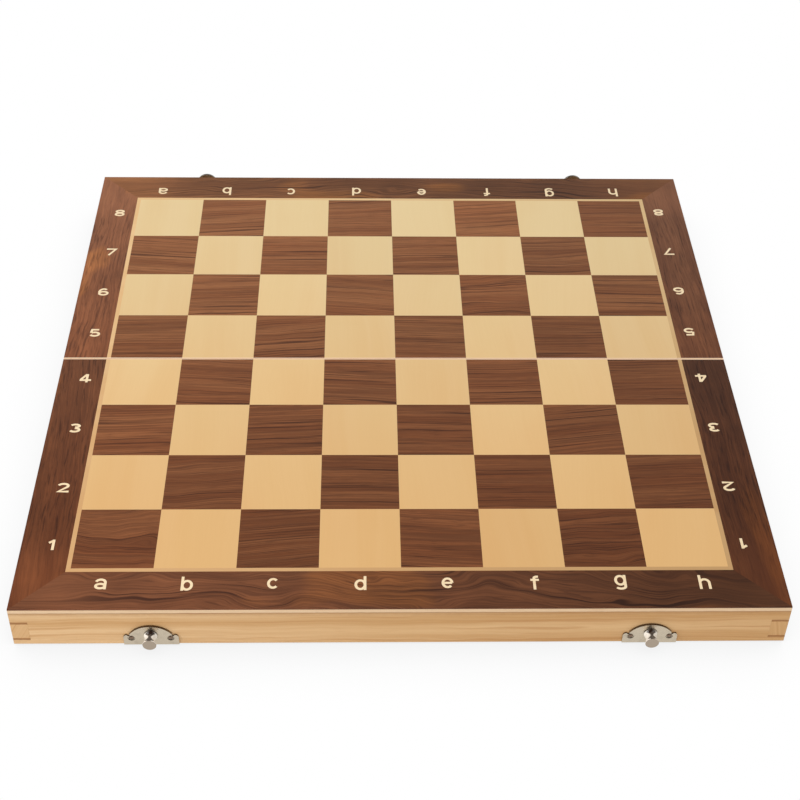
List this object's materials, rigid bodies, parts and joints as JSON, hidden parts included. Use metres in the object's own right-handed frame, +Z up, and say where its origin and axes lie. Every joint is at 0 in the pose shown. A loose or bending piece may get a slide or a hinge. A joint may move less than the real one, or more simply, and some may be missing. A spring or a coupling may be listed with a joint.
{
  "type": "folding chess board",
  "caption": "Wooden chess board that folds into a flat box: two hinged trays with an inlaid chequered top, coordinate border, and swing-hook catches on the front.",
  "frame": {"origin": "on the supporting surface, under the middle of the hinge line of the open board", "axes": "+X along the ranks from file a to file h, +Y from the near half (rank 1) to the far half (rank 8), +Z up out of the playing face"},
  "size_m": [0.38, 0.392, 0.0264],
  "materials": {
    "pine_rail": "pale softwood, clear satin lacquer",
    "panel_core": "pale thin panel, clear satin lacquer",
    "maple_veneer": "pale maple veneer, satin lacquer",
    "walnut_squares": "walnut veneer with streaky grain, satin lacquer",
    "walnut_border": "figured walnut veneer, satin lacquer",
    "felt": "short pressed wool felt",
    "hinge_brass": "brass-plated steel, slightly dulled",
    "nickel": "bright nickel plate"
  },
  "bodies": {
    "near_half": {"near_front_rail": "pine_rail", "near_left_rail": "pine_rail", "near_right_rail": "pine_rail", "near_spine_rail": "pine_rail", "near_panel": "panel_core", "near_edge_band": "maple_veneer", "near_dark_squares": "walnut_squares", "near_light_squares": "maple_veneer", "near_stringing": "maple_veneer", "near_border_front": "walnut_border", "near_border_left": "walnut_border", "near_border_right": "walnut_border", "near_felt_lining": "felt", "near_left_catch_plate": "nickel", "near_right_catch_plate": "nickel", "near_left_catch_stud": "nickel", "near_right_catch_stud": "nickel", "near_catch_nails": "nickel", "left_hinge_near_leaf": "hinge_brass", "right_hinge_near_leaf": "hinge_brass", "left_hinge_pin": "hinge_brass", "right_hinge_pin": "hinge_brass", "near_hinge_screws": "hinge_brass"},
    "far_half": {"far_back_rail": "pine_rail", "far_left_rail": "pine_rail", "far_right_rail": "pine_rail", "far_spine_rail": "pine_rail", "far_panel": "panel_core", "far_edge_band": "maple_veneer", "far_dark_squares": "walnut_squares", "far_light_squares": "maple_veneer", "far_stringing": "maple_veneer", "far_border_back": "walnut_border", "far_border_left": "walnut_border", "far_border_right": "walnut_border", "far_felt_lining": "felt", "far_left_catch_plate": "nickel", "far_right_catch_plate": "nickel", "far_left_hook_pivot": "nickel", "far_right_hook_pivot": "nickel", "far_catch_nails": "nickel", "left_hinge_far_leaf": "hinge_brass", "right_hinge_far_leaf": "hinge_brass", "far_hinge_screws": "hinge_brass"},
    "left_hook": {"left_hook": "nickel"},
    "right_hook": {"right_hook": "nickel"}
  },
  "joints": [
    {"name": "fold", "type": "hinge", "parent": "near_half", "child": "far_half", "pos_m": [0, 0, 0.0012], "axis": [-1, 0, 0], "range_deg": [0, 180]},
    {"name": "left_hook_swing", "type": "hinge", "parent": "far_half", "child": "left_hook", "pos_m": [-0.1226, 0.19335, 0.007], "axis": [0, 1, 0], "range_deg": [0, 180]},
    {"name": "right_hook_swing", "type": "hinge", "parent": "far_half", "child": "right_hook", "pos_m": [0.1226, 0.19335, 0.007], "axis": [0, 1, 0], "range_deg": [0, 180]}
  ]
}
